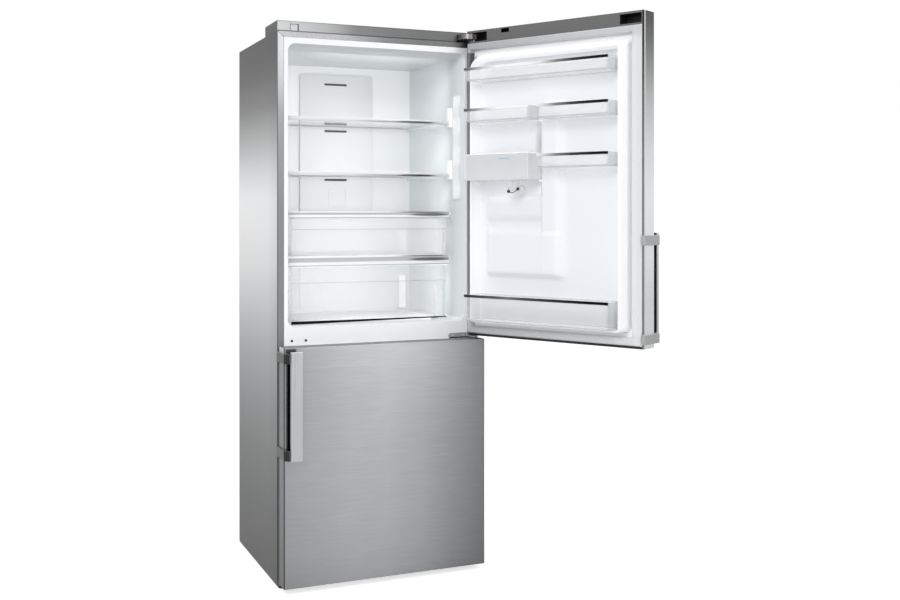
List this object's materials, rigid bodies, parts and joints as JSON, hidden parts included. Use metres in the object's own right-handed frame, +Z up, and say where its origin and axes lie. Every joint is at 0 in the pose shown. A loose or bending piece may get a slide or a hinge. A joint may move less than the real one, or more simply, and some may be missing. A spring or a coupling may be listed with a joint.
{
  "type": "fridge freezer",
  "caption": "Free-standing two-door fridge freezer, fridge above and freezer below, with glass shelves, crispers, door shelves, a door water tank and dispenser, and bar handles.",
  "frame": {"origin": "on the floor, below the middle of the cabinet's front plane", "axes": "+Z up from the floor, +Y from the cabinet's front plane to its back, +X towards the hinge side"},
  "size_m": [1.0868, 1.2283, 1.85],
  "materials": {
    "cabinet_steel": "satin",
    "zinc_steel": "matte",
    "insulation": "matte",
    "white_liner": "gloss",
    "white_trim": "satin",
    "grey_plastic": "matte",
    "hinge_steel": "satin",
    "lamp_diffuser": "satin",
    "shelf_glass": "gloss",
    "clear_plastic": "gloss",
    "drawer_plastic": "gloss",
    "black_enamel": "satin",
    "bare_aluminium": "satin",
    "black_plastic": "matte",
    "door_steel": "satin",
    "grey_gasket": "matte",
    "handle_metal": "satin",
    "dark_gloss": "gloss"
  },
  "bodies": {
    "cabinet": {"cabinet_shell": "cabinet_steel", "cabinet_foam": "insulation", "back_panel": "zinc_steel", "base_pan": "zinc_steel", "fridge_liner": "white_liner", "freezer_liner": "white_liner", "mullion_cover": "white_liner", "top_cap": "grey_plastic", "hole_plugs": "grey_plastic", "top_hinge": "hinge_steel", "middle_hinge": "hinge_steel", "bottom_hinge": "hinge_steel", "duct_cover": "white_trim", "led_lamps": "lamp_diffuser", "shelf_clips": "white_trim", "crisper_cover_glass": "shelf_glass", "crisper_cover_trim": "white_trim", "compressor": "black_enamel", "evaporator": "bare_aluminium", "evaporator_cover": "white_trim", "fan_motor": "grey_plastic", "compressor_cover": "zinc_steel", "power_inlet": "black_plastic"},
    "fridge_door": {"fridge_door_skin": "door_steel", "fridge_door_caps": "grey_plastic", "fridge_door_liner": "white_liner", "fridge_door_foam": "insulation", "fridge_door_gasket": "grey_gasket", "fridge_door_handle": "handle_metal", "dispenser_housing": "dark_gloss"},
    "freezer_door": {"freezer_door_skin": "door_steel", "freezer_door_caps": "grey_plastic", "freezer_door_liner": "white_liner", "freezer_door_foam": "insulation", "freezer_door_gasket": "grey_gasket", "freezer_door_handle": "handle_metal"},
    "upper_shelf": {"shelf_upper_glass": "shelf_glass", "shelf_upper_trim": "white_trim"},
    "lower_shelf": {"shelf_lower_glass": "shelf_glass", "shelf_lower_trim": "white_trim"},
    "upper_crisper": {"crisper_upper": "clear_plastic"},
    "lower_crisper": {"crisper_lower": "clear_plastic"},
    "top_drawer": {"freezer_drawer_top": "drawer_plastic"},
    "middle_drawer": {"freezer_drawer_middle": "drawer_plastic"},
    "bottom_drawer": {"freezer_drawer_bottom": "drawer_plastic"},
    "fan": {"fan_blades": "white_trim"},
    "left_foot": {"front_foot_left": "black_plastic"},
    "right_foot": {"front_foot_right": "black_plastic"},
    "left_roller": {"rear_roller_left": "black_plastic"},
    "right_roller": {"rear_roller_right": "black_plastic"},
    "paddle": {"dispenser_paddle": "grey_plastic"},
    "tray": {"dispenser_tray": "dark_gloss"},
    "top_door_shelf": {"top_bin": "clear_plastic"},
    "left_door_shelf": {"left_bin": "clear_plastic"},
    "upper_right_door_shelf": {"upper_right_bin": "clear_plastic"},
    "lower_right_door_shelf": {"lower_right_bin": "clear_plastic"},
    "bottle_shelf": {"bottle_bin": "clear_plastic"},
    "tank": {"water_tank": "clear_plastic", "tank_tap": "white_trim"},
    "lid": {"tank_lid": "white_trim"}
  },
  "joints": [
    {"name": "fridge_door_hinge", "type": "hinge", "parent": "cabinet", "child": "fridge_door", "pos_m": [0.332, -0.038, 0.801], "axis": [0, 0, 1], "range_deg": [-117.7, 5]},
    {"name": "freezer_door_hinge", "type": "hinge", "parent": "cabinet", "child": "freezer_door", "pos_m": [0.332, -0.038, 0.022], "axis": [0, 0, 1], "range_deg": [0, 120]},
    {"name": "upper_shelf_slide", "type": "slide", "parent": "cabinet", "child": "upper_shelf", "axis": [0, -1, 0], "range_m": [0, 0.15]},
    {"name": "lower_shelf_slide", "type": "slide", "parent": "cabinet", "child": "lower_shelf", "axis": [0, -1, 0], "range_m": [0, 0.15]},
    {"name": "upper_crisper_slide", "type": "slide", "parent": "cabinet", "child": "upper_crisper", "axis": [0, -1, 0], "range_m": [0, 0.18]},
    {"name": "lower_crisper_slide", "type": "slide", "parent": "cabinet", "child": "lower_crisper", "axis": [0, -1, 0], "range_m": [0, 0.18]},
    {"name": "top_drawer_slide", "type": "slide", "parent": "cabinet", "child": "top_drawer", "axis": [0, -1, 0], "range_m": [0, 0.165]},
    {"name": "middle_drawer_slide", "type": "slide", "parent": "cabinet", "child": "middle_drawer", "axis": [0, -1, 0], "range_m": [0, 0.165]},
    {"name": "bottom_drawer_slide", "type": "slide", "parent": "cabinet", "child": "bottom_drawer", "axis": [0, -1, 0], "range_m": [0, 0.165]},
    {"name": "fan_spin", "type": "hinge", "parent": "cabinet", "child": "fan", "pos_m": [0, 0.432, 0.666], "axis": [0, 1, 0], "continuous": true},
    {"name": "left_foot_screw", "type": "hinge", "parent": "cabinet", "child": "left_foot", "pos_m": [-0.324, 0.013, 0.01], "axis": [0, 0, 1], "continuous": true},
    {"name": "right_foot_screw", "type": "hinge", "parent": "cabinet", "child": "right_foot", "pos_m": [0.324, 0.013, 0.01], "axis": [0, 0, 1], "continuous": true},
    {"name": "left_roller_spin", "type": "hinge", "parent": "cabinet", "child": "left_roller", "pos_m": [-0.325, 0.4, 0.014], "axis": [1, 0, 0], "continuous": true},
    {"name": "right_roller_spin", "type": "hinge", "parent": "cabinet", "child": "right_roller", "pos_m": [0.325, 0.4, 0.014], "axis": [1, 0, 0], "continuous": true},
    {"name": "paddle_pivot", "type": "hinge", "parent": "fridge_door", "child": "paddle", "pos_m": [0.43519, -0.23456, 1.224], "axis": [-0.4648, 0.8854, 0], "range_deg": [0, 8], "stiffness_Nm_per_rad": 0.3},
    {"name": "tray_slide", "type": "slide", "parent": "fridge_door", "child": "tray", "axis": [0.8854, 0.4648, 0], "range_m": [0, 0.025]},
    {"name": "top_door_shelf_lift", "type": "slide", "parent": "fridge_door", "child": "top_door_shelf", "axis": [0, 0, 1], "range_m": [0, 0.02]},
    {"name": "left_door_shelf_lift", "type": "slide", "parent": "fridge_door", "child": "left_door_shelf", "axis": [0, 0, 1], "range_m": [0, 0.02]},
    {"name": "upper_right_door_shelf_lift", "type": "slide", "parent": "fridge_door", "child": "upper_right_door_shelf", "axis": [0, 0, 1], "range_m": [0, 0.02]},
    {"name": "lower_right_door_shelf_lift", "type": "slide", "parent": "fridge_door", "child": "lower_right_door_shelf", "axis": [0, 0, 1], "range_m": [0, 0.02]},
    {"name": "bottle_shelf_lift", "type": "slide", "parent": "fridge_door", "child": "bottle_shelf", "axis": [0, 0, 1], "range_m": [0, 0.02]},
    {"name": "tank_lift", "type": "slide", "parent": "fridge_door", "child": "tank", "axis": [0, 0, 1], "range_m": [0, 0.015]},
    {"name": "lid_hinge", "type": "hinge", "parent": "tank", "child": "lid", "pos_m": [0.36921, -0.22289, 1.4223], "axis": [-0.4648, 0.8854, 0], "range_deg": [0, 100]}
  ],
  "couplings": [
    {"joint": "top_drawer_slide", "follows": "freezer_door_hinge", "m_per_rad": 0.078},
    {"joint": "middle_drawer_slide", "follows": "freezer_door_hinge", "m_per_rad": 0.078},
    {"joint": "bottom_drawer_slide", "follows": "freezer_door_hinge", "m_per_rad": 0.078}
  ]
}
